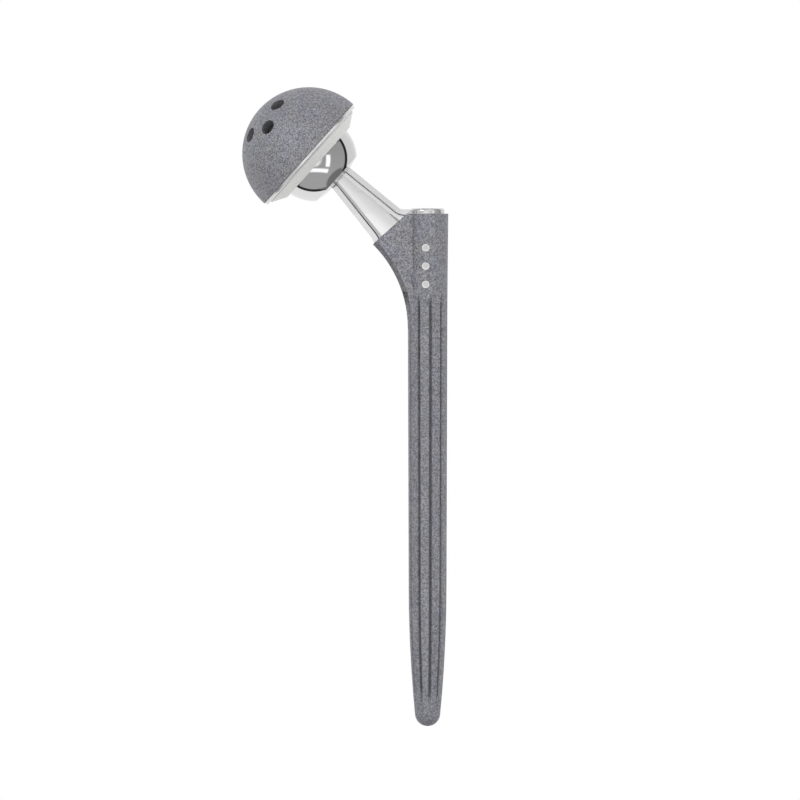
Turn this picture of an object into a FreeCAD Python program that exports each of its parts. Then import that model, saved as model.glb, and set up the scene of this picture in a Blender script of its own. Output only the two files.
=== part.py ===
# Total hip implant: fluted stem, ball head, bearing liner and cup shell.
# The origin is the hip's centre of rotation, which is also the centre of the ball.
# +X points away from the body's midline, +Y to the back, +Z up along the stem's shaft.
import FreeCAD, Part
import math
import os

import Sketcher
from FreeCAD import Placement, Rotation, Vector

doc = FreeCAD.newDocument("hip_implant")
sheet = doc.addObject("Spreadsheet::Sheet", "Sizes")

# Sizes in millimetres and degrees. A drop is a depth below the hip centre,
# a reach is a distance from the hip centre along the neck.
SIZES = [
    # Cup shell
    ("shell_wall", 4.0, "wall of the shell"),
    ("lip_depth", 1.4, "polished lip beyond the dome's equator"),
    ("lip_step", 0.4, "how far the lip is set in from the rough dome"),
    ("lip_bevel", 0.4, "bevel on the lip's outer corner"),
    ("centre_offset", 2.9, "hip centre outside the dome's equator plane"),
    ("cup_tilt", 48.2, "angle of the cup's axis from upright"),
    ("screw_hole_dia", 6.4, "screw holes in the dome"),
    ("screw_low", 43.0, "middle screw hole, angle from the pole"),
    ("screw_high", 32.0, "side screw holes, angle from the pole"),
    ("screw_turn", 9.5, "middle screw hole, turned about the pole"),
    ("screw_spread", 35.7, "side screw holes, turned from the middle one"),
    # Liner
    ("liner_wall", 5.92, "liner, from the ball's socket to the shell's bore"),
    ("liner_fit", 0.05, "clearance round the liner's band"),
    ("liner_band", 5.0, "height of the band that locks in the shell"),
    ("dome_gap", 0.5, "gap between liner dome and shell"),
    ("flange_width", 1.5, "flange that lies on the shell's lip"),
    ("flange_edge", 0.5, "upright edge of the flange"),
    ("crest_depth", 5.4, "how far the liner stands beyond the dome's equator"),
    ("crest_width", 1.5, "width of the liner's crest outside the bore"),
    ("crest_bevel", 0.8, "lead-in bevel of the bore"),
    # Head
    ("head_dia", 36.0, "ball diameter"),
    ("ball_clearance", 0.08, "radial clearance of the ball in the liner"),
    ("face_reach", 12.7, "where the ball ends at its face"),
    ("face_rise", 1.15, "height of the shallow conical face"),
    ("mouth_dia", 15.2, "counterbore round the neck"),
    ("mouth_depth", 1.15, "depth of the counterbore"),
    ("bore_end_gap", 1.0, "free space past the end of the taper"),
    # Taper of the stem
    ("taper_dia", 9.4, "taper at its wide end"),
    ("taper_angle", 2.85, "half angle of the taper"),
    ("taper_end_reach", 2.6, "narrow end of the taper"),
    ("taper_lap", 0.4, "taper running on inside the neck"),
    ("taper_bevel", 0.5, "bevel on the taper's end"),
    ("taper_clearance", 0.03, "running clearance in the head's bore"),
    # Neck
    ("neck_tilt", 48.0, "angle of the neck's axis from upright"),
    ("neck_reach", 13.0, "start of the neck"),
    ("neck_shift", 1.6, "neck's centre above the taper's axis"),
    ("neck_width", 11.0, "neck where it leaves the head"),
    ("neck_thickness", 9.8, "neck from front to back"),
    ("neck_bevel", 2.6, "bevel along the neck's flat front and back"),
    ("neck_bevel_depth", 3.45, "the same bevel on the neck's sides"),
    ("neck_soften", 2.5, "rounding between the flat and its bevel"),
    ("top_slope", 39.3, "slope of the neck's upper edge"),
    ("top_curve", 3.0, "curve from the upper edge into the shelf"),
    ("low_slope", 51.7, "slope of the neck's lower edge"),
    ("low_run", 26.8, "straight run of the lower edge"),
    ("low_curve", 9.3, "curve of the lower edge into the body"),
    ("low_end_slope", 78.5, "slope where that curve meets the body"),
    # Body of the stem
    ("stem_offset", 47.7, "stem axis from the hip centre, sideways"),
    ("shelf_drop", 21.4, "top of the polished shelf"),
    ("shoulder_drop", 23.2, "top of the rough body"),
    ("border_width", 8.5, "rough shoulder inboard of the stem axis"),
    ("wing_thickness", 11.6, "front to back of the medial wing"),
    ("wing_bevel", 2.0, "bevel along the wing's curved edge"),
    ("wing_curve", 49.6, "radius of the wing's curved edge"),
    ("coat_step", 0.75, "rough body standing proud of the neck's root"),
    ("coat_lap", 0.4, "rough body lapping up over the neck's root"),
    # Shoulder boss and the hole for the inserter
    ("boss_dia", 14.2, "polished boss on the shoulder"),
    ("boss_rise", 2.3, "boss above the rough shoulder"),
    ("boss_round", 1.1, "rounded edge of the boss"),
    ("inserter_dia", 6.8, "threaded hole for the inserter"),
    ("inserter_depth", 16.0, "depth of that hole"),
    # Shaft
    ("shoulder_dia", 17.4, "shaft at the shoulder"),
    ("shaft_dia", 16.6, "shaft where the flutes start"),
    ("shaft_low_dia", 15.9, "shaft where the nose starts"),
    ("nose_drop", 180.0, "start of the long tapering nose"),
    ("stem_drop", 238.4, "tip of the stem"),
    ("tip_round", 5.3, "radius of the rounded tip"),
    # Flutes
    ("flute_count", 10, "flutes round the shaft"),
    ("flute_width", 1.7, "width of a flute at the surface"),
    ("flute_depth", 0.9, "depth of a flute"),
    ("flute_floor", 0.3, "width of a flute's floor"),
    ("flute_turn", 9.0, "flute nearest the side, turned to the front"),
    ("flute_drop", 64.0, "full depth of the flutes starts here"),
    ("flute_lead", 30.0, "radius of the run-in at the top"),
    ("flute_lead_angle", 15.5, "turn of the run-in"),
    ("flute_end_drop", 222.0, "flutes start to run out here"),
    ("flute_exit", 45.0, "radius of the run-out"),
    ("flute_exit_angle", 13.0, "turn of the run-out"),
    # Dimples
    ("dimple_dia", 3.2, "polished dimples on the body"),
    ("dimple_depth", 0.7, "depth below the round of the body"),
    ("dimple_shift", 0.8, "dimples inboard of the stem axis"),
    ("dimple_drop", 37.5, "first dimple"),
    ("dimple_pitch", 7.7, "from one dimple to the next"),
]


class Size:
    """A number and the formula over the sheet's cells that gives it."""

    def __init__(self, value, text):
        self.value = float(value)
        self.text = text

    def __add__(self, other):
        other = as_size(other)
        return Size(self.value + other.value, f"({self.text} + {other.text})")

    def __sub__(self, other):
        other = as_size(other)
        return Size(self.value - other.value, f"({self.text} - {other.text})")

    def __mul__(self, other):
        other = as_size(other)
        return Size(self.value * other.value, f"({self.text} * {other.text})")

    def __truediv__(self, other):
        other = as_size(other)
        return Size(self.value / other.value, f"({self.text} / {other.text})")

    def __neg__(self):
        return Size(-self.value, f"(-1 * {self.text})")


def as_size(thing):
    return thing if isinstance(thing, Size) else Size(thing, repr(float(thing)))


def sine(angle):
    return Size(math.sin(math.radians(angle.value)), f"sin({angle.text})")


def cosine(angle):
    return Size(math.cos(math.radians(angle.value)), f"cos({angle.text})")


def tangent(angle):
    return Size(math.tan(math.radians(angle.value)), f"tan({angle.text})")


def root(thing):
    return Size(math.sqrt(thing.value), f"sqrt({thing.text})")


def arc_sine(thing):
    return Size(math.degrees(math.asin(thing.value)), f"(asin({thing.text}) / 1 deg)")


def slope_angle(rise, run):
    value = math.degrees(math.atan(rise.value / run.value))
    return Size(value, f"(atan({rise.text} / {run.text}) / 1 deg)")


class Sizes:
    """The named sizes, each read from its cell."""


S = Sizes()
for row, (alias, number, note) in enumerate(SIZES, start=1):
    sheet.set(f"A{row}", alias)
    sheet.set(f"B{row}", str(number))
    sheet.set(f"C{row}", note)
    sheet.setAlias(f"B{row}", alias)
doc.recompute()
for alias, number, note in SIZES:
    setattr(S, alias, Size(sheet.get(alias), f"Sizes.{alias}"))
ZERO = as_size(0)

# Places and lengths that follow from the sizes.
layout = doc.addObject("Spreadsheet::Sheet", "Layout")
layout_rows = []


def named(alias, size):
    """Keep a formula in a cell of its own, so that later formulas stay short."""
    layout_rows.append(alias)
    cell = f"B{len(layout_rows)}"
    layout.set(f"A{len(layout_rows)}", alias)
    layout.set(cell, "=" + size.text)
    layout.setAlias(cell, alias)
    layout.recompute()
    return Size(size.value, f"Layout.{alias}")


def bind(thing, prop, size):
    """Tie a property to its formula."""
    thing.setExpression(prop, size.text)


def new_body(name):
    body = doc.addObject("PartDesign::Body", name)
    body.Label = name
    return body


def origin_part(body, role):
    for feature in body.Origin.OriginFeatures:
        if feature.Role == role:
            return feature
    raise ValueError(role)


def attach(thing, support, base=(None, None, None), axis=None, angle=None):
    """Attach to a plane, shifted by base and turned by angle about axis."""
    thing.AttachmentSupport = [(support, "")]
    thing.MapMode = "FlatFace"
    values = [0.0 if part is None else part.value for part in base]
    turn = Rotation()
    if axis is not None:
        turn = Rotation(Vector(*axis), angle.value)
    thing.AttachmentOffset = Placement(Vector(*values), turn)
    for letter, part in zip("xyz", base):
        if part is not None:
            bind(thing, f"AttachmentOffset.Base.{letter}", part)
    if axis is not None:
        bind(thing, "AttachmentOffset.Rotation.Angle", angle)


def new_sketch(body, name, plane, **where):
    sketch = body.newObject("Sketcher::SketchObject", name)
    support = origin_part(body, plane) if isinstance(plane, str) else plane
    attach(sketch, support, **where)
    return sketch


def constrain(sketch, kind, *place, size):
    index = sketch.addConstraint(Sketcher.Constraint(kind, *place, size.value))
    bind(sketch, f"Constraints[{index}]", size)


def pin_point(sketch, curve, end, x, y):
    """Fix one end of a curve, or a centre, at x and y from the sketch's origin."""
    if x is ZERO:
        sketch.addConstraint(Sketcher.Constraint("PointOnObject", curve, end, -2))
    else:
        constrain(sketch, "DistanceX", -1, 1, curve, end, size=x)
    if y is ZERO:
        sketch.addConstraint(Sketcher.Constraint("PointOnObject", curve, end, -1))
    else:
        constrain(sketch, "DistanceY", -1, 1, curve, end, size=y)


def outline(sketch, points, arcs=None, closed=True):
    """Lines and arcs from point to point.

    arcs gives, for the run that starts at a point, its radius and the side
    its centre lies on: 1 to the left of the run, -1 to the right.
    """
    arcs = arcs or {}
    count = len(points)
    runs = count if closed else count - 1
    ends = []
    for i in range(runs):
        start = Vector(points[i][0].value, points[i][1].value, 0)
        stop = Vector(points[(i + 1) % count][0].value, points[(i + 1) % count][1].value, 0)
        if i in arcs:
            radius, side = arcs[i]
            half = (stop - start).Length / 2
            height = math.sqrt(max(radius.value ** 2 - half ** 2, 0))
            along = (stop - start).normalize()
            centre = (start + stop) / 2 + Vector(-along.y, along.x, 0) * height * side
            first, last = (start, stop) if side > 0 else (stop, start)
            begin = math.atan2(first.y - centre.y, first.x - centre.x)
            finish = math.atan2(last.y - centre.y, last.x - centre.x)
            circle = Part.Circle(centre, Vector(0, 0, 1), radius.value)
            curve = sketch.addGeometry(Part.ArcOfCircle(circle, begin, finish), False)
            ends.append((curve, 1, 2) if side > 0 else (curve, 2, 1))
        else:
            curve = sketch.addGeometry(Part.LineSegment(start, stop), False)
            ends.append((curve, 1, 2))
    joins = runs if closed else runs - 1
    for i in range(joins):
        here = ends[i]
        after = ends[(i + 1) % runs]
        sketch.addConstraint(Sketcher.Constraint("Coincident", here[0], here[2], after[0], after[1]))
    for i in range(runs):
        pin_point(sketch, ends[i][0], ends[i][1], *points[i])
        if i in arcs:
            constrain(sketch, "Radius", ends[i][0], size=arcs[i][0])
    if not closed:
        pin_point(sketch, ends[-1][0], ends[-1][2], *points[-1])
    return [curve for curve, first, last in ends]


def circle_at(sketch, x, y, diameter):
    circle = Part.Circle(Vector(x.value, y.value, 0), Vector(0, 0, 1), diameter.value / 2)
    curve = sketch.addGeometry(circle, False)
    pin_point(sketch, curve, 3, x, y)
    constrain(sketch, "Diameter", curve, size=diameter)


def feature(body, kind, name, **settings):
    """Add a feature, set it up and recompute."""
    made = body.newObject("PartDesign::" + kind, name)
    for key, value in settings.items():
        if isinstance(value, Size):
            bind(made, key, value)
        else:
            setattr(made, key, value)
    doc.recompute()
    return made


def revolve(body, name, points, arcs=None, **where):
    """Turn an outline, drawn as (radius, height), about its own upright axis."""
    sketch = new_sketch(body, name + "_outline", "XZ_Plane", **where)
    outline(sketch, points, arcs)
    return feature(body, "Revolution", name, Profile=sketch, ReferenceAxis=(sketch, ["V_Axis"]),
                   Angle=360.0)


def volume_drop(body, before, name):
    """A cut has to take something away."""
    after = body.Shape.Volume
    if not after < before - 0.01:
        raise RuntimeError(name + " cuts nothing")
    return after


def long_edges(shape, wanted):
    return [f"Edge{i}" for i, edge in enumerate(shape.Edges, start=1) if wanted(edge)]


def tilt_body(body, angle):
    """Lean a body's own upright axis towards the midline."""
    body.Placement = Placement(Vector(0, 0, 0), Rotation(Vector(0, -1, 0), angle.value))
    bind(body, "Placement.Rotation.Angle", angle)


# Cup shell, drawn about its own axis with the hip centre at the origin.
equator = S.centre_offset
ball_radius = named("ball_radius", S.head_dia / 2)
socket_radius = named("socket_radius", ball_radius + S.ball_clearance)
bore_radius = named("bore_radius", socket_radius + S.liner_wall)
shell_radius = named("shell_radius", bore_radius + S.shell_wall)
lip_level = named("lip_level", equator - S.lip_depth)
lip_radius = named("lip_radius", shell_radius - S.lip_step)
crest_level = named("crest_level", equator - S.crest_depth)

shell = new_body("acetabular_shell")
tilt_body(shell, S.cup_tilt)
revolve(shell, "shell_dome", [
    (ZERO, equator + bore_radius),
    (bore_radius, equator),
    (bore_radius, lip_level),
    (lip_radius - S.lip_bevel, lip_level),
    (lip_radius, lip_level + S.lip_bevel),
    (lip_radius, equator),
    (shell_radius, equator),
    (ZERO, equator + shell_radius),
], arcs={0: (bore_radius, -1), 6: (shell_radius, 1)})

# Screw holes, each drilled square to the dome from the dome's own centre.
hole_list = [("screw_mid", S.screw_turn, S.screw_low),
             ("screw_side", S.screw_turn + S.screw_spread, S.screw_high)]
before = shell.Shape.Volume
for name, turn, lean in hole_list:
    sector = shell.newObject("PartDesign::Plane", name + "_sector")
    attach(sector, origin_part(shell, "XY_Plane"), axis=(0, 0, -1), angle=turn)
    doc.recompute()
    drill = new_sketch(shell, name + "_drill", sector,
                       base=(None, None, equator), axis=(1, 0, 0), angle=lean)
    circle_at(drill, ZERO, ZERO, S.screw_hole_dia)
    doc.recompute()
    hole = feature(shell, "Pocket", name, Profile=drill, Reversed=True, Length=shell_radius * 2)
    before = volume_drop(shell, before, name)
pair = feature(shell, "PolarPattern", "screw_side_pair", Originals=[hole],
               Axis=(origin_part(shell, "Z_Axis"), [""]), Angle=S.screw_spread * 2, Occurrences=2)
shell.Tip = pair
doc.recompute()
volume_drop(shell, before, "screw_side_pair")

# Liner: a band locks in the shell, a flange lies on its lip, the rest stands proud.
band_radius = named("band_radius", bore_radius - S.liner_fit)
dome_radius = named("dome_radius", bore_radius - S.dome_gap)
band_rise = named("band_rise", S.liner_band - S.lip_depth)
band_top = equator + band_rise
band_step = named("band_step", root(dome_radius * dome_radius - band_rise * band_rise))
band_in = named("band_in", root(band_radius * band_radius - band_rise * band_rise))
flange_radius = named("flange_radius", bore_radius + S.flange_width)
crest_radius = named("crest_radius", socket_radius + S.crest_width)

liner = new_body("polyethylene_liner")
tilt_body(liner, S.cup_tilt)
revolve(liner, "liner_insert", [
    (ZERO, socket_radius),
    (socket_radius, ZERO),
    (socket_radius, crest_level + S.crest_bevel),
    (socket_radius + S.crest_bevel, crest_level),
    (crest_radius, crest_level),
    (flange_radius, lip_level - S.flange_edge),
    (flange_radius, lip_level),
    (band_radius, lip_level),
    (band_radius, equator),
    (band_in, band_top),
    (band_step, band_top),
    (ZERO, equator + dome_radius),
], arcs={0: (socket_radius, -1), 8: (band_radius, 1), 10: (dome_radius, 1)})

# Ball head, drawn with its face down. Its bore takes the stem's taper.
head = new_body("femoral_head")
tilt_body(head, S.neck_tilt)
taper_slope = named("taper_slope", tangent(S.taper_angle))
taper_radius = named("taper_radius", S.taper_dia / 2)
face_radius = named("face_radius", root(ball_radius * ball_radius - S.face_reach * S.face_reach))
mouth_level = named("mouth_level", S.face_reach + S.face_rise)
mouth_floor = named("mouth_floor", mouth_level - S.mouth_depth)
bore_end = named("bore_end", S.taper_end_reach - S.bore_end_gap)
bore_gap = named("bore_gap", S.taper_clearance / cosine(S.taper_angle))
revolve(head, "ball", [
    (ZERO, ball_radius),
    (ZERO, -bore_end),
    (taper_radius + bore_gap - taper_slope * (S.neck_reach - bore_end), -bore_end),
    (taper_radius + bore_gap - taper_slope * (S.neck_reach - mouth_floor), -mouth_floor),
    (S.mouth_dia / 2, -mouth_floor),
    (S.mouth_dia / 2, -mouth_level),
    (face_radius, -S.face_reach),
    (ball_radius, ZERO),
], arcs={6: (ball_radius, 1), 7: (ball_radius, 1)})

# Stem, from its silhouette in the X-Z plane.
axis_x = S.stem_offset
shaft_radius = named("shaft_radius", S.shaft_dia / 2)
shoulder_radius = S.shoulder_dia / 2
start_x = S.neck_reach * sine(S.neck_tilt)
start_z = -(S.neck_reach * cosine(S.neck_tilt))
low_n = S.neck_shift - S.neck_width / 2
low_x = named("low_x", start_x + low_n * cosine(S.neck_tilt))
low_z = named("low_z", start_z + low_n * sine(S.neck_tilt))
top_x = named("top_x", low_x + S.neck_width * cosine(S.neck_tilt))
top_z = named("top_z", low_z + S.neck_width * sine(S.neck_tilt))

# Lower edge: straight run, then a curve that steepens to the body.
low_curve_x = named("low_curve_x", low_x + S.low_run * cosine(S.low_slope))
low_curve_z = named("low_curve_z", low_z - S.low_run * sine(S.low_slope))
low_end_x = named("low_end_x", low_curve_x + S.low_curve * (sine(S.low_end_slope) - sine(S.low_slope)))
low_end_z = named("low_end_z",
                  low_curve_z + S.low_curve * (cosine(S.low_end_slope) - cosine(S.low_slope)))

# Upper edge: straight run down to the shelf, with a curve where they meet.
meet_x = top_x + (top_z + S.shelf_drop) / tangent(S.top_slope)
curve_leg = S.top_curve * tangent(S.top_slope / 2)
top_curve_x = named("top_curve_x", meet_x - curve_leg * cosine(S.top_slope))
top_curve_z = named("top_curve_z", curve_leg * sine(S.top_slope) - S.shelf_drop)
shelf_x = named("shelf_x", meet_x + curve_leg)

corner_x = named("corner_x", low_end_x - S.coat_step)
corner_z = named("corner_z", low_end_z + S.coat_lap)
medial_x = named("medial_x", axis_x - shaft_radius)
corner_run = named("corner_run", corner_x - medial_x + S.wing_curve)
curve_centre_z = named("curve_centre_z",
                       corner_z - root(S.wing_curve * S.wing_curve - corner_run * corner_run))

stem = new_body("femoral_stem")

# Neck: a plate with a flat front and back from the head to the shelf. Its lower end runs
# just under the border of the rough body.
inner_x = named("inner_x", low_end_x + S.wing_bevel * 1.5)
inner_z = named("inner_z", low_end_z + S.wing_bevel * 1.3)
neck_outline = new_sketch(stem, "neck_outline", "XZ_Plane")
outline(neck_outline, [
    (top_x, top_z),
    (low_x, low_z),
    (low_curve_x, low_curve_z),
    (low_end_x, low_end_z),
    (inner_x, inner_z),
    (axis_x, inner_z),
    (axis_x, -S.shelf_drop),
    (shelf_x, -S.shelf_drop),
    (top_curve_x, top_curve_z),
], arcs={2: (S.low_curve, -1), 7: (S.top_curve, -1)})
neck = feature(stem, "Pad", "neck", Profile=neck_outline, Midplane=True, Length=S.neck_thickness)


def on_neck_rim(edge, shelf_inset=0.0):
    """The long edges of the neck's flat front and back, from the head to the shelf."""
    middle = edge.valueAt((edge.FirstParameter + edge.LastParameter) / 2)
    if abs(abs(middle.y) - S.neck_thickness.value / 2) > 0.001:
        return False
    if isinstance(edge.Curve, Part.Circle):
        return middle.x < axis_x.value
    run = edge.tangentAt(edge.FirstParameter)
    falling = run.x * run.z < -0.001
    on_shelf = abs(middle.z + S.shelf_drop.value + shelf_inset) < 0.001
    return falling or on_shelf


# The sides are bevelled steeply, and each bevel is rounded into the flat.
neck_bevelled = feature(stem, "Chamfer", "neck_bevelled", Base=(neck, long_edges(neck.Shape, on_neck_rim)),
                        ChamferType="Two distances", Size=S.neck_bevel_depth, Size2=S.neck_bevel)


def on_bevel(edge):
    return on_neck_rim(edge, shelf_inset=S.neck_bevel.value)


feature(stem, "Fillet", "neck_softened", Base=(neck_bevelled, long_edges(neck_bevelled.Shape, on_bevel)),
        Radius=S.neck_soften)

# Wing: a flat plate between the medial curve and the shaft, a little proud of the neck.
wing_outline = new_sketch(stem, "wing_outline", "XZ_Plane")
outline(wing_outline, [
    (corner_x, corner_z),
    (medial_x, curve_centre_z),
    (axis_x, curve_centre_z),
    (axis_x, -S.shoulder_drop),
    (axis_x - S.border_width, -S.shoulder_drop),
], arcs={0: (S.wing_curve, -1)})
wing = feature(stem, "Pad", "wing", Profile=wing_outline, Midplane=True, Length=S.wing_thickness)


def on_wing_curve(edge):
    if not isinstance(edge.Curve, Part.Circle):
        return False
    return abs(edge.Curve.Radius - S.wing_curve.value) < 0.001


feature(stem, "Chamfer", "wing_bevelled", Base=(wing, long_edges(wing.Shape, on_wing_curve)),
        Size=S.wing_bevel)

# Taper for the head, drawn as a cone that narrows towards the hip centre.
taper_length = S.neck_reach + S.taper_lap - S.taper_end_reach
taper_reach = S.neck_reach + S.taper_lap
taper = stem.newObject("PartDesign::AdditiveCone", "taper")
attach(taper, origin_part(stem, "XY_Plane"),
       base=(taper_reach * sine(S.neck_tilt), None, -(taper_reach * cosine(S.neck_tilt))),
       axis=(0, -1, 0), angle=S.neck_tilt)
bind(taper, "Radius1", taper_radius + taper_slope * S.taper_lap)
bind(taper, "Radius2", taper_radius - taper_slope * (taper_length - S.taper_lap))
bind(taper, "Height", taper_length)
doc.recompute()


def at_taper_end(edge):
    if not isinstance(edge.Curve, Part.Circle):
        return False
    return abs(edge.Curve.Center.Length - S.taper_end_reach.value) < 0.01


feature(stem, "Chamfer", "taper_bevelled", Base=(taper, long_edges(taper.Shape, at_taper_end)),
        Size=S.taper_bevel)

# Shaft with the shoulder boss, turned about the stem's axis. Below the start of the
# flutes it tapers, then a long curve and a rounded tip, each tangent to the last, close it.
boss_radius = S.boss_dia / 2
boss_top = S.boss_rise - S.shoulder_drop
low_radius = S.shaft_low_dia / 2
lean = named("lean", slope_angle(shaft_radius - low_radius, S.nose_drop - S.flute_drop))
tip_run = named("tip_run", S.stem_drop - S.nose_drop - S.tip_round)
nose_curve = named("nose_curve",
                   (low_radius * low_radius + tip_run * tip_run - S.tip_round * S.tip_round)
                   / ((low_radius * cosine(lean) - tip_run * sine(lean) - S.tip_round) * 2))
nose_centre_x = named("nose_centre_x", low_radius - nose_curve * cosine(lean))
nose_centre_run = named("nose_centre_run", tip_run + nose_curve * sine(lean))
share = named("share", S.tip_round / (nose_curve - S.tip_round))
join_radius = -nose_centre_x * share
join_drop = S.stem_drop - S.tip_round + nose_centre_run * share
revolve(stem, "shaft", [
    (ZERO, boss_top),
    (ZERO, -S.stem_drop),
    (join_radius, -join_drop),
    (low_radius, -S.nose_drop),
    (shaft_radius, -S.flute_drop),
    (shoulder_radius, -S.shoulder_drop),
    (boss_radius, -S.shoulder_drop),
    (boss_radius, boss_top - S.boss_round),
    (boss_radius - S.boss_round, boss_top),
], arcs={1: (S.tip_round, 1), 2: (nose_curve, 1), 7: (S.boss_round, 1)},
    base=(axis_x, None, None))

# Hole for the inserter, straight down the stem's axis.
before = stem.Shape.Volume
inserter_spot = new_sketch(stem, "inserter_spot", "XY_Plane", base=(axis_x, None, boss_top))
circle_at(inserter_spot, ZERO, ZERO, S.inserter_dia)
doc.recompute()
inserter = feature(stem, "Hole", "inserter_hole", Profile=inserter_spot)
inserter.DepthType = "Dimension"
inserter.DrillPoint = "Angled"
bind(inserter, "Diameter", S.inserter_dia)
bind(inserter, "Depth", S.inserter_depth)
doc.recompute()
before = volume_drop(stem, before, "inserter_hole")

# Three dimples down the front of the body and three down the back.
dimple_outline = new_sketch(stem, "dimple_outline", "XZ_Plane",
                            base=(axis_x, None, shaft_radius - S.dimple_depth))
for step in range(3):
    circle_at(dimple_outline, -S.dimple_shift, -(S.dimple_drop + S.dimple_pitch * step),
              S.dimple_dia)
doc.recompute()
dimples = feature(stem, "Pocket", "dimples", Profile=dimple_outline, Reversed=True,
                  Length=S.shaft_dia)
before = volume_drop(stem, before, "dimples")
back_dimples = feature(stem, "Mirrored", "back_dimples", Originals=[dimples],
                       MirrorPlane=(origin_part(stem, "XZ_Plane"), [""]))
stem.Tip = back_dimples
doc.recompute()
before = volume_drop(stem, before, "back_dimples")

# Flutes. A vee cutter with a narrow floor runs in, follows the shaft and the nose, and runs out again.
lead_turn = named("lead_turn", lean + S.flute_lead_angle)
lead_x = shaft_radius + S.flute_lead * (cosine(lean) - cosine(lead_turn))
lead_z = S.flute_lead * (sine(lead_turn) - sine(lean)) - S.flute_drop
nose_run = named("nose_run", S.flute_end_drop - S.nose_drop + nose_curve * sine(lean))
exit_x = named("exit_x", nose_centre_x + root(nose_curve * nose_curve - nose_run * nose_run))
exit_lean = named("exit_lean", arc_sine(nose_run / nose_curve))
out_lean = named("out_lean", exit_lean - S.flute_exit_angle)
out_x = exit_x + S.flute_exit * (cosine(exit_lean) - cosine(out_lean))
out_z = S.flute_exit * (sine(out_lean) - sine(exit_lean)) - S.flute_end_drop

flute_sector = stem.newObject("PartDesign::Plane", "flute_sector")
attach(flute_sector, origin_part(stem, "XZ_Plane"), base=(axis_x, None, None),
       axis=(0, -1, 0), angle=S.flute_turn)
doc.recompute()
flute_path = new_sketch(stem, "flute_path", flute_sector)
outline(flute_path, [
    (lead_x, lead_z),
    (shaft_radius, -S.flute_drop),
    (low_radius, -S.nose_drop),
    (exit_x, -S.flute_end_drop),
    (out_x, out_z),
], arcs={0: (S.flute_lead, 1), 2: (nose_curve, -1), 3: (S.flute_exit, 1)}, closed=False)
flute_cutter = new_sketch(stem, "flute_cutter", flute_sector, base=(lead_x, lead_z, None),
                          axis=(1, 0, 0), angle=as_size(90))
flank = (S.flute_width - S.flute_floor) / 2 / S.flute_depth
outer_half = S.flute_width / 2 + flank * S.flute_width
outline(flute_cutter, [
    (-S.flute_depth, -(S.flute_floor / 2)),
    (S.flute_width, -outer_half),
    (S.flute_width, outer_half),
    (-S.flute_depth, S.flute_floor / 2),
])
doc.recompute()
path_edges = [f"Edge{i + 1}" for i in range(len(flute_path.Shape.Edges))]
flute = feature(stem, "SubtractivePipe", "flute", Profile=flute_cutter,
                Spine=(flute_path, path_edges))
before = volume_drop(stem, before, "flute")
flutes = feature(stem, "PolarPattern", "flutes", Originals=[flute], Angle=360.0,
                 Axis=(flute_path, ["V_Axis"]), Occurrences=S.flute_count)
stem.Tip = flutes
doc.recompute()
volume_drop(stem, before, "flutes")

# Every feature must have worked, and every piece must be one sound solid.
doc.recompute()
for thing in doc.Objects:
    if "Invalid" in thing.State or "Error" in thing.State:
        raise RuntimeError(thing.Name + " failed: " + str(thing.State))
pieces = [shell, liner, head, stem]
for piece in pieces:
    shape = piece.Shape
    if shape.isNull() or not shape.isValid() or len(shape.Solids) != 1:
        raise RuntimeError(piece.Label + " is not one sound solid")

os.makedirs("parts", exist_ok=True)
for piece in pieces:
    piece.Shape.exportStep("parts/" + piece.Label + ".step")
    box = piece.Shape.BoundBox
    print(piece.Label, "volume", round(piece.Shape.Volume, 1),
          "x", round(box.XMin, 2), round(box.XMax, 2), "y", round(box.YMin, 2),
          round(box.YMax, 2), "z", round(box.ZMin, 2), round(box.ZMax, 2))
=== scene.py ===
"""A hip replacement set: rough cup shell, white liner, mirror ball and fluted stem."""
import math

import bpy
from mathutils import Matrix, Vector


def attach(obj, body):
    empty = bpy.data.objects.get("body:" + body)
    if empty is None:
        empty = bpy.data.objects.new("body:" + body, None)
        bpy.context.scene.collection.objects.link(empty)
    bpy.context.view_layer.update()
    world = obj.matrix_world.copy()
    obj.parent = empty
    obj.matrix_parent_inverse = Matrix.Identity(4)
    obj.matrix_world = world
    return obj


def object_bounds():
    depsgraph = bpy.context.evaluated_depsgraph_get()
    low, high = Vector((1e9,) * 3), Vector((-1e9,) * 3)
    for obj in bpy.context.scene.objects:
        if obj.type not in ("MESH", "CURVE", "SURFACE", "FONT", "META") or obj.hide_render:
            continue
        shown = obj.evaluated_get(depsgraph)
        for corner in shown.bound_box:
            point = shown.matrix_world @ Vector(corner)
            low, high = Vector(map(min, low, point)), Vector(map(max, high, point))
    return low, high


MM = 0.001

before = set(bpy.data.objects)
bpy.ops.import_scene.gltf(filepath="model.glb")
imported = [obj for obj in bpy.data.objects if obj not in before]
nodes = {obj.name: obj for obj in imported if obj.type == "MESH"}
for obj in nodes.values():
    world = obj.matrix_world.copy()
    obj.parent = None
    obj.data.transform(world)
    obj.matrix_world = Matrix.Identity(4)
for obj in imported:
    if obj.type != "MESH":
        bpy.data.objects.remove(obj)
cad_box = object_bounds()

# Places on the part, in metres, as the CAD model has them. The ball's centre is the origin,
# and the liner's socket ends this far from it.
BALL_CENTRE = Vector((0.0, 0.0, 0.0))
SOCKET_EDGE_RADIUS = 18.3 * MM

# The cup: its edge and its dome's centre lie this far along its axis.
CUP_AXIS = Vector((-0.745476, 0.0, 0.666532))
DOME_EDGE = 2.9 * MM
DOME_CENTRE = DOME_EDGE * CUP_AXIS
DOME_RADIUS = 28.0 * MM

# The slanting border between blasted wing and polished neck, and the polished shoulder.
BORDER_POINT = Vector((39.2, 0.0, -23.2)) * MM
BORDER_NORMAL = Vector((-12.939, 0.0, 14.474)).normalized()
SHOULDER_Z = -23.25 * MM

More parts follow.
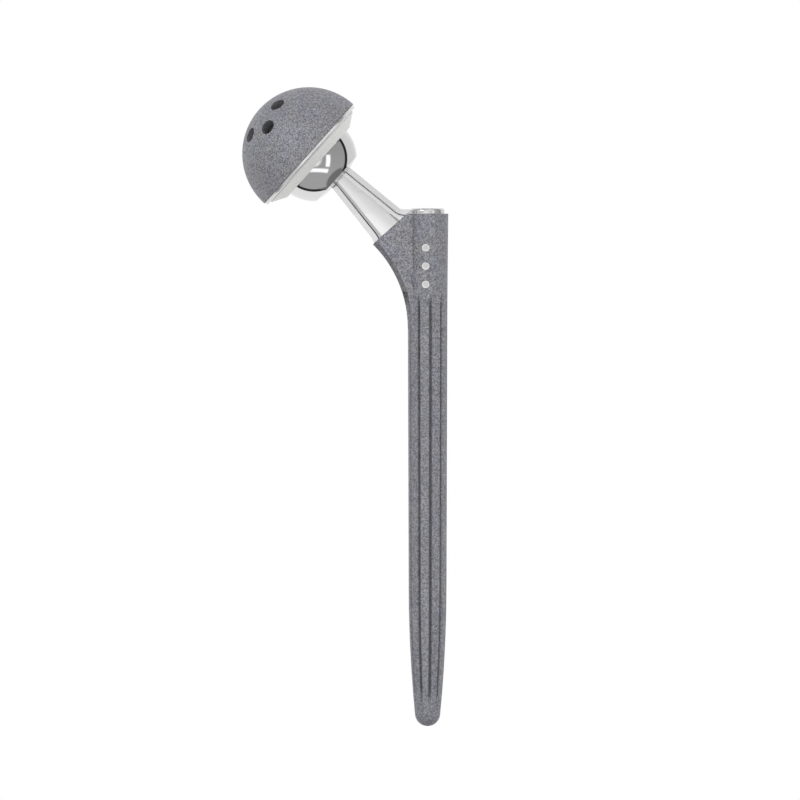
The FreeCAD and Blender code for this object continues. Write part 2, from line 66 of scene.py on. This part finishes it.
# The neck runs along its axis. Its side points up and out, square to the axis, and the
# neck's middle lies this far to that side of the ball's centre.
NECK_AXIS = Vector((0.743145, 0.0, -0.669131))
NECK_SIDE = Vector((0.669131, 0.0, 0.743145))
NECK_MIDDLE = 0.8 * MM

# The round dimples, one below the other, front and back, and how far from the part's
# middle plane their floors lie at least.
SPOT_X = 46.9 * MM
SPOT_TOP_Z = -37.5 * MM
SPOT_PITCH = 7.7 * MM
SPOT_COUNT = 3
SPOT_RADIUS = 1.62 * MM
SPOT_LEAST_Y = 7.0 * MM

# The wing: the arc of its lower edge, the bevel's width, the height where the wing ends,
# and the crease where its flat meets the shaft.
WING_ARC = 49.6 * MM
WING_ARC_CENTRE = Vector((-10.2, 0.0, -71.357)) * MM
WING_BEVEL = 1.93 * MM
WING_FOOT_Z = -63 * MM
CREASE_X = 41.7 * MM

# The shaft narrows evenly down to the nose, whose sides are arcs of a large circle.
STEM_X = 47.7 * MM
SHAFT_TOP_Z = -64 * MM
SHAFT_TOP_RADIUS = 8.3 * MM
NOSE_TOP_Z = -180 * MM
NOSE_TOP_RADIUS = 7.95 * MM
NOSE_ARC = 573.329 * MM
NOSE_ARC_Z = -178.27 * MM
NOSE_ARC_OFFSET = 565.379 * MM
FLUTES_TOP_Z = -56 * MM
FLUTES_END_Z = -226 * MM

# The thread in the hole of the shoulder's boss. Its root lies just behind the hole's wall,
# whose radius is 3.4 mm.
THREAD_ROOT_RADIUS = 3.43 * MM
THREAD_TOP_Z = -22.1 * MM
THREAD_PITCH = 1.25 * MM
THREAD_HEIGHT = 0.48 * MM
THREAD_TURNS = 10
STEPS_A_TURN = 48

# The picture's width on the part, and the point it is centred on.
VIEW_WIDTH = 336 * MM
VIEW_X = 36.12 * MM
VIEW_Z = -101.47 * MM


class Graph:
    """Shader nodes of one material or world, added and linked in one call each."""

    def __init__(self, owner):
        owner.use_nodes = True
        self.tree = owner.node_tree
        self.tree.nodes.clear()

    def node(self, kind, inputs=None, **settings):
        made = self.tree.nodes.new(kind)
        for name, value in settings.items():
            setattr(made, name, value)
        for name, value in (inputs or {}).items():
            self.put(made.inputs[name], value)
        return made

    def put(self, socket, value):
        if isinstance(value, bpy.types.NodeSocket):
            self.tree.links.new(value, socket)
        else:
            socket.default_value = value

    def math(self, operation, *values):
        made = self.node("ShaderNodeMath", operation=operation)
        for socket, value in zip(made.inputs, values):
            self.put(socket, value)
        return made.outputs[0]

    def chain(self, operation, values):
        result = values[0]
        for value in values[1:]:
            result = self.math(operation, result, value)
        return result

    def times(self, *values):
        return self.chain("MULTIPLY", values)

    def plus(self, *values):
        return self.chain("ADD", values)

    def minus(self, first, second):
        return self.math("SUBTRACT", first, second)

    def largest(self, *values):
        return self.chain("MAXIMUM", values)

    def smallest(self, *values):
        return self.chain("MINIMUM", values)

    def ramp(self, value, low, high, start=0.0, end=1.0, kind="SMOOTHSTEP"):
        """From start to end as the value goes from low to high, eased unless kind says LINEAR."""
        made = self.node("ShaderNodeMapRange", interpolation_type=kind, inputs={
            "Value": value, "From Min": low, "From Max": high, "To Min": start, "To Max": end})
        return made.outputs["Result"]

    def window(self, value, low, high, soft):
        """One between low and high, zero outside, with soft edges."""
        rise = self.ramp(value, low - soft, low + soft)
        fall = self.ramp(value, high - soft, high + soft, 1.0, 0.0)
        return self.times(rise, fall)

    def mix(self, share, first, second, how="MIX"):
        """Two colours: the share is how much of the second one there is."""
        made = self.node("ShaderNodeMix", data_type="RGBA", blend_type=how)
        self.put(made.inputs[0], share)
        self.put(made.inputs[6], first)
        self.put(made.inputs[7], second)
        return made.outputs[2]

    def blend(self, share, first, second):
        """The same for plain numbers."""
        made = self.node("ShaderNodeMix", data_type="FLOAT")
        self.put(made.inputs[0], share)
        self.put(made.inputs[2], first)
        self.put(made.inputs[3], second)
        return made.outputs[0]

    def point(self):
        """The point on the part, in metres."""
        return self.node("ShaderNodeTexCoord").outputs["Object"]

    def split(self, point):
        """The three coordinates of a point or a direction."""
        return self.node("ShaderNodeSeparateXYZ", inputs={0: point}).outputs

    def vector_math(self, operation, first, second):
        made = self.node("ShaderNodeVectorMath", operation=operation)
        self.put(made.inputs[0], first)
        self.put(made.inputs[1], tuple(second))
        return made

    def flatten(self, point, kept):
        """The point with the coordinates that aren't kept set to zero."""
        return self.vector_math("MULTIPLY", point, kept).outputs["Vector"]

    def dot(self, point, axis):
        return self.vector_math("DOT_PRODUCT", point, axis).outputs["Value"]

    def distance(self, point, centre):
        return self.vector_math("DISTANCE", point, centre).outputs["Value"]

    def noise(self, point, size, detail=2.0, rough=0.5):
        """Noise whose grains are about this size in metres."""
        made = self.node("ShaderNodeTexNoise", inputs={
            "Vector": point, "Scale": 1.0 / size, "Detail": detail, "Roughness": rough})
        return made.outputs["Fac"]

    def turned(self, along, pitch):
        """The fine waves that a lathe leaves, this far apart."""
        return self.math("SINE", self.times(along, 2 * math.pi / pitch))

    def bump(self, height, depth, edge=None):
        """Relief of this depth; edge is the radius that sharp edges look rounded to."""
        made = self.node("ShaderNodeBump", inputs={"Height": height, "Distance": depth})
        if edge:
            rounded = self.node("ShaderNodeBevel", samples=6, inputs={"Radius": edge})
            self.tree.links.new(rounded.outputs[0], made.inputs["Normal"])
        made.inputs["Strength"].default_value = 1.0
        return made.outputs["Normal"]

    def surface(self, **inputs):
        """The material's surface; each name is an input, with _ for a space."""
        shader = self.node("ShaderNodeBsdfPrincipled")
        for name, value in inputs.items():
            self.put(shader.inputs[name.replace("_", " ")], value)
        self.finish("ShaderNodeOutputMaterial", shader)

    def finish(self, kind, shader):
        out = self.node(kind)
        self.tree.links.new(shader.outputs[0], out.inputs["Surface"])


def grey(level, blue=1.0):
    return (level, level, level * blue, 1.0)


def grit(g, point):
    """Blasted titanium: the colour and the height of its grains."""
    coarse = g.noise(point, 1.5 * MM, 3.0, 0.6)
    fine = g.noise(point, 0.62 * MM, 1.0, 0.5)
    broad = g.noise(point, 8.0 * MM, 2.0, 0.5)
    tone = g.plus(g.times(fine, 0.7), g.times(coarse, 0.3))
    dark_light = g.ramp(tone, 0.33, 0.67)
    speck = g.mix(dark_light, (0.162, 0.160, 0.175, 1.0), (0.393, 0.391, 0.419, 1.0))
    # Painted glints: bright specks mixed into the colour.
    glint = g.ramp(g.noise(point, 0.5 * MM, 0.0), 0.70, 0.80)
    glinted = g.mix(g.times(glint, 0.5), speck, (0.70, 0.70, 0.75, 1.0))
    tint = g.mix(g.ramp(broad, 0.4, 0.62), (0.965, 0.975, 1.02, 1.0), (1.0, 1.0, 0.99, 1.0))
    return g.mix(1.0, glinted, tint, how="MULTIPLY"), tone


def dimple_spots(g, point, y):
    """How much of a dimple's bare floor there is, and how far from its middle it is."""
    front_on = g.flatten(point, (1, 0, 1))
    away = []
    for k in range(SPOT_COUNT):
        centre = (SPOT_X, 0.0, SPOT_TOP_Z - k * SPOT_PITCH)
        away.append(g.distance(front_on, centre))
    nearest = g.smallest(*away)
    inside = g.ramp(nearest, SPOT_RADIUS - 0.04 * MM, SPOT_RADIUS + 0.04 * MM, 1.0, 0.0)
    near_skin = g.ramp(g.math("ABSOLUTE", y), SPOT_LEAST_Y - 0.1 * MM, SPOT_LEAST_Y + 0.1 * MM)
    return g.times(inside, near_skin), nearest


def flute_depth(g, point, off_x, z):
    """How deep below the shaft's round skin the point lies, as a share from 0 to 1."""
    reach = g.distance(g.flatten(point, (1, 1, 0)), (STEM_X, 0.0, 0.0))
    shaft = g.ramp(z, NOSE_TOP_Z, SHAFT_TOP_Z, NOSE_TOP_RADIUS, SHAFT_TOP_RADIUS, kind="LINEAR")
    down = g.minus(z, NOSE_ARC_Z)
    nose = g.minus(g.math("SQRT", g.minus(NOSE_ARC ** 2, g.times(down, down))), NOSE_ARC_OFFSET)
    skin = g.blend(g.math("LESS_THAN", z, NOSE_TOP_Z), shaft, nose)
    sunk = g.ramp(g.minus(skin, reach), 0.15 * MM, 0.85 * MM)
    on_shaft = g.times(g.window(z, FLUTES_END_Z, FLUTES_TOP_Z, 3 * MM),
                       g.ramp(off_x, -8.6 * MM, -8.4 * MM))
    return g.times(sunk, on_shaft)


def wing_edges(g, point, x, z):
    """The crease between wing and shaft, and the wing's bevelled edge."""
    crease = g.times(g.window(x, CREASE_X - 0.4 * MM, CREASE_X + 0.4 * MM, 0.45 * MM),
                     g.window(z, FLUTES_TOP_Z, SHOULDER_Z - 0.75 * MM, 2.5 * MM))
    from_arc = g.minus(g.distance(g.flatten(point, (1, 0, 1)), WING_ARC_CENTRE), WING_ARC)
    bevel = g.times(g.ramp(from_arc, WING_BEVEL - 0.18 * MM, WING_BEVEL + 0.17 * MM, 1.0, 0.0),
                    g.ramp(z, WING_FOOT_Z - 3 * MM, WING_FOOT_Z + 3 * MM))
    return crease, bevel


def stem_material():
    material = bpy.data.materials.new("stem_titanium")
    g = Graph(material)
    point = g.point()
    x, y, z = g.split(point)
    off_x = g.minus(x, STEM_X)
    colour, height = grit(g, point)

    # Polished above the slanting border and on the shoulder.
    border = BORDER_POINT.dot(BORDER_NORMAL)
    above = g.ramp(g.dot(point, BORDER_NORMAL), border + 0.02 * MM, border + 0.12 * MM)
    shoulder = g.ramp(z, SHOULDER_Z - 0.05 * MM, SHOULDER_Z + 0.05 * MM)
    polished = g.largest(above, shoulder)

    # Shade is painted into the blasted skin's colour in the flutes, in the crease and on the bevel.
    crease, bevel = wing_edges(g, point, x, z)
    shade = g.largest(flute_depth(g, point, off_x, z), g.times(crease, 0.5), g.times(bevel, 0.42))
    rough_colour = g.mix(g.times(shade, 0.62), colour, grey(0.04, 1.08))

    # The dimples are bare and bright metal; the brighter ring at their rims is a painted highlight.
    spot, nearest = dimple_spots(g, point, y)
    rim_highlight = g.times(spot, g.ramp(nearest, 0.95 * MM, 1.35 * MM))
    spotted = g.mix(spot, rough_colour, g.mix(rim_highlight, grey(0.66), grey(0.95)))
    shine = g.noise(point, 2.5 * MM, 3.0)
    bright = g.mix(shine, grey(0.74, 1.01), grey(0.82))

    # The neck's front and back are flat in the solid. By this relief alone they mirror as if
    # rounded, with their edges turned 11 degrees at the ball and 15 at the root.
    across = g.minus(g.dot(point, NECK_SIDE), NECK_MIDDLE)
    along = g.dot(point, NECK_AXIS)
    curvature = g.ramp(along, 17 * MM, 34 * MM, 1 / (16 * MM), 1 / (26 * MM))
    crown = g.times(across, across, curvature, -0.5, above)
    blasted = g.minus(1.0, g.largest(polished, spot))
    relief = g.math("DIVIDE", g.plus(g.times(height, 0.3 * MM, blasted), crown), 1.0 * MM)

    gloss = g.plus(g.ramp(shine, 0.3, 0.7, 0.07, 0.11), g.times(shoulder, 0.16))
    g.surface(
        Base_Color=g.mix(polished, spotted, bright),
        Metallic=g.blend(polished, g.blend(spot, 0.5, 0.6), 1.0),
        Roughness=g.blend(polished, g.blend(spot, 0.6, 0.35), gloss),
        Normal=g.bump(relief, 1.0 * MM, edge=0.3 * MM),
    )
    return material


def shell_material():
    material = bpy.data.materials.new("shell_titanium")
    g = Graph(material)
    point = g.point()
    colour, height = grit(g, point)
    along = g.dot(point, CUP_AXIS)
    lip = g.ramp(along, DOME_EDGE - 0.08 * MM, DOME_EDGE - 0.02 * MM, 1.0, 0.0)
    # The shell's inside and its screw holes' walls get a plain darker grey: painted shade.
    inside = g.ramp(g.distance(point, DOME_CENTRE), DOME_RADIUS - 0.5 * MM,
                    DOME_RADIUS - 0.1 * MM, 1.0, 0.0)
    inside_shade = g.times(inside, g.minus(1.0, lip))
    # Shade is painted into the rough skin along the dome's edge, where it meets the lip.
    edge = g.ramp(along, DOME_EDGE + 0.15 * MM, DOME_EDGE + 0.55 * MM, 0.45, 0.0)
    outer = g.mix(inside_shade, g.mix(edge, colour, grey(0.08, 1.05)), grey(0.24, 1.04))
    shine = g.noise(point, 2.5 * MM, 3.0)
    grain = g.blend(lip, height, g.times(g.turned(along, 0.28 * MM), 0.012))
    g.surface(
        Base_Color=g.mix(lip, outer, g.mix(shine, grey(0.70), grey(0.80))),
        Metallic=g.blend(lip, 0.5, 0.65),
        Roughness=g.blend(lip, 0.6, 0.24),
        Normal=g.bump(grain, 0.3 * MM, edge=0.15 * MM),
    )
    return material


def liner_material():
    material = bpy.data.materials.new("white_polyethylene")
    g = Graph(material)
    point = g.point()
    along = g.dot(point, CUP_AXIS)
    # The liner's back, which shows only through the screw holes, is painted dark as shade.
    in_shell = g.ramp(along, DOME_EDGE - 0.2 * MM, DOME_EDGE + 0.4 * MM)
    out_of_socket = g.ramp(g.distance(point, BALL_CENTRE), SOCKET_EDGE_RADIUS,
                           SOCKET_EDGE_RADIUS + 0.3 * MM)
    shaded_back = g.times(in_shell, out_of_socket)
    cloud = g.noise(point, 6 * MM, 3.0)
    white = g.mix(cloud, (0.585, 0.59, 0.575, 1.0), (0.645, 0.645, 0.635, 1.0))
    g.surface(
        Base_Color=g.mix(shaded_back, white, grey(0.10, 1.06)),
        Roughness=g.ramp(cloud, 0.3, 0.7, 0.34, 0.44),
        Normal=g.bump(g.turned(along, 0.35 * MM), 0.006 * MM),
    )
    return material


def head_material():
    material = bpy.data.materials.new("polished_cobalt_chrome")
    g = Graph(material)
    haze = g.noise(g.point(), 5 * MM, 3.0)
    g.surface(
        Base_Color=g.mix(haze, grey(0.74, 1.01), grey(0.79, 1.01)),
        Metallic=1.0,
        Roughness=g.ramp(haze, 0.3, 0.7, 0.02, 0.045),
    )
    return material


def thread_material():
    material = bpy.data.materials.new("cut_titanium")
    g = Graph(material)
    point = g.point()
    patch = g.noise(point, 1.2 * MM, 3.0)
    g.surface(
        Base_Color=g.mix(patch, grey(0.42, 1.03), grey(0.58, 1.02)),
        Metallic=1.0,
        Roughness=g.ramp(patch, 0.3, 0.7, 0.22, 0.34),
        Normal=g.bump(g.turned(g.split(point)[2], 0.12 * MM), 0.004 * MM),
    )
    return material


def dress_solids():
    makers = {
        "femoral_stem": stem_material,
        "acetabular_shell": shell_material,
        "polyethylene_liner": liner_material,
        "femoral_head": head_material,
    }
    for name, make in makers.items():
        material = make()
        for slot in nodes[name].material_slots:
            slot.material = material


def inserter_thread():
    """The screw thread in the shoulder's hole: a ridge wound round inside its wall."""
    # Its section, as shares: how far in from the wall, how far along the hole.
    section = [(0.0, 0.52), (1.0, 0.09), (1.0, -0.09), (0.0, -0.52)]
    corners = len(section)
    count = THREAD_TURNS * STEPS_A_TURN
    points = []
    for i in range(count + 1):
        turn = i / STEPS_A_TURN
        angle = 2 * math.pi * turn
        # The ridge grows from nothing over its first half turn, and ends the same way.
        grown = min(1.0, 0.08 + 2.0 * turn, 0.08 + 2.0 * (count - i) / STEPS_A_TURN)
        for inward, along in section:
            radius = THREAD_ROOT_RADIUS - inward * THREAD_HEIGHT * grown
            points.append((STEM_X + radius * math.cos(angle), radius * math.sin(angle),
                           THREAD_TOP_Z - THREAD_PITCH * turn + along * THREAD_PITCH * grown))
    faces = []
    for i in range(count):
        for k in range(corners):
            here = corners * i + k
            beside = corners * i + (k + 1) % corners
            faces.append((here, beside, beside + corners, here + corners))
    faces.append(tuple(reversed(range(corners))))
    faces.append(tuple(corners * count + k for k in range(corners)))
    mesh = bpy.data.meshes.new("inserter_thread")
    mesh.from_pydata(points, [], faces)
    mesh.materials.append(thread_material())
    piece = bpy.data.objects.new("inserter_thread", mesh)
    bpy.context.collection.objects.link(piece)
    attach(piece, "stem")


# Bright panels that the metal mirrors: left, right, low and high, in degrees from straight ahead.
PANELS = [
    (33, 45, -21, 9),
    (-13, 44, -37, -27),
    (-110, -60, -20, 50),
]


def bright_panels(g, towards):
    x, y, z = g.split(towards)
    azimuth = g.math("ARCTAN2", x, g.times(y, -1.0))
    height = g.math("ARCSINE", z)
    panels = []
    for left, right, low, high in PANELS:
        panels.append(g.times(g.window(azimuth, math.radians(left), math.radians(right), 0.05),
                              g.window(height, math.radians(low), math.radians(high), 0.05)))
    return g.times(g.largest(*panels), 0.92)


def mirrored_light(g, towards):
    """What polished metal mirrors: a grey room in front of the part, near white behind it."""
    x, y, z = g.split(towards)
    slant = g.dot(towards, NECK_SIDE)
    past_neck = g.dot(towards, NECK_AXIS)
    room = g.ramp(z, -0.9, 0.6, 0.43, 0.37)
    # A wide soft lamp straight ahead, brightest low on its left.
    ahead = g.times(g.ramp(y, -0.97, -0.90, 1.0, 0.0), g.ramp(slant, -0.26, 0.34, 0.96, 0.38))
    front = g.plus(room, ahead, bright_panels(g, towards))
    # Darker past the neck's root, and nearly black level with the part's own plane.
    front = g.times(front, g.ramp(past_neck, 0.90, 0.94, 1.0, 0.45), g.ramp(y, 0.01, 0.07, 1.0, 0.06))

    # Square to the neck's axis, which is what its sides mirror: a light card straight ahead,
    # crossed by a dark and a bright line, greyer cards beside it, then dark further round.
    card = g.ramp(slant, -0.32, 0.10, 1.14, 0.86)
    card = g.minus(card, g.times(g.window(slant, 0.22, 0.29, 0.02), 0.5))
    card = g.plus(card, g.times(g.window(slant, 0.33, 0.46, 0.02), 0.4))
    aside = g.ramp(slant, -0.1, 0.1, 0.60, 0.88)
    cards = g.blend(g.ramp(y, -0.93, -0.87, 1.0, 0.0), aside, card)
    cards = g.times(cards, g.ramp(y, -0.25, -0.15, 1.0, 0.05))
    towards_cards = g.plus(past_neck, g.times(g.math("ABSOLUTE", slant), 0.95))
    square = g.times(g.ramp(towards_cards, -0.25, -0.20), g.ramp(past_neck, 0.21, 0.24, 1.0, 0.0))

    seen = g.blend(square, front, cards)
    behind = g.ramp(y, 0.19, 0.23)
    return g.blend(behind, seen, g.ramp(x, 0.1, 0.8, 0.93, 0.77))


def studio():
    """White to the camera, soft all-round light on rough surfaces, the room in mirrors."""
    world = bpy.data.worlds.new("studio")
    bpy.context.scene.world = world
    g = Graph(world)
    towards = g.node("ShaderNodeTexCoord").outputs["Generated"]
    x, y, z = g.split(towards)
    soft = g.times(g.ramp(y, -0.4, 0.5, 0.72, 1.0), g.ramp(z, -0.4, 0.9, 0.88, 1.36))
    path = g.node("ShaderNodeLightPath").outputs
    glossy = g.largest(path["Is Glossy Ray"], path["Is Transmission Ray"])
    level = g.blend(glossy, soft, mirrored_light(g, towards))
    level = g.blend(path["Is Camera Ray"], level, 1.0)
    g.finish("ShaderNodeOutputWorld",
             g.node("ShaderNodeBackground", inputs={"Color": grey(1.0), "Strength": level}))


def lamp(name, place, size, power, mirrored=True):
    """A round soft lamp that points at the part's middle."""
    target = Vector((30, 0, -100)) * MM
    data = bpy.data.lights.new(name, "AREA")
    data.shape = "DISK"
    data.size = size
    data.energy = power
    made = bpy.data.objects.new(name, data)
    bpy.context.collection.objects.link(made)
    made.visible_glossy = mirrored
    made.location = place
    made.rotation_mode = "QUATERNION"
    made.rotation_quaternion = (target - Vector(place)).to_track_quat("-Z", "Y")


def floor():
    """A pale floor at the part's lowest point, clear from below so that the part shows there."""
    low = cad_box[0].z
    half = 1.6
    corners = [(-half, -half, low), (half, -half, low), (half, half, low), (-half, half, low)]
    mesh = bpy.data.meshes.new("floor")
    mesh.from_pydata(corners, [], [(0, 1, 2, 3)])
    made = bpy.data.objects.new("floor", mesh)
    bpy.context.collection.objects.link(made)
    material = bpy.data.materials.new("pale_floor")
    g = Graph(material)
    top = g.node("ShaderNodeBsdfPrincipled", inputs={"Base Color": grey(0.72), "Roughness": 0.9})
    clear = g.node("ShaderNodeBsdfTransparent")
    below = g.node("ShaderNodeNewGeometry").outputs["Backfacing"]
    both = g.node("ShaderNodeMixShader", inputs={0: below, 1: top.outputs[0], 2: clear.outputs[0]})
    g.finish("ShaderNodeOutputMaterial", both)
    mesh.materials.append(material)
    made.visible_glossy = False


def camera():
    """Square to the part and level with it, without perspective."""
    data = bpy.data.cameras.new("camera")
    data.type = "ORTHO"
    data.ortho_scale = VIEW_WIDTH
    data.clip_start = 0.01
    data.clip_end = 20
    made = bpy.data.objects.new("camera", data)
    bpy.context.collection.objects.link(made)
    made.location = (VIEW_X, -1.5, VIEW_Z)
    made.rotation_euler = (math.pi / 2, 0, 0)
    bpy.context.scene.camera = made


dress_solids()
inserter_thread()
studio()
lamp("key", (-0.55, -0.75, 0.45), 0.5, 1.5)
lamp("fill", (0.8, -0.6, 0.1), 0.6, 2.1, mirrored=False)
floor()
camera()
bpy.context.scene.view_settings.view_transform = "Standard"
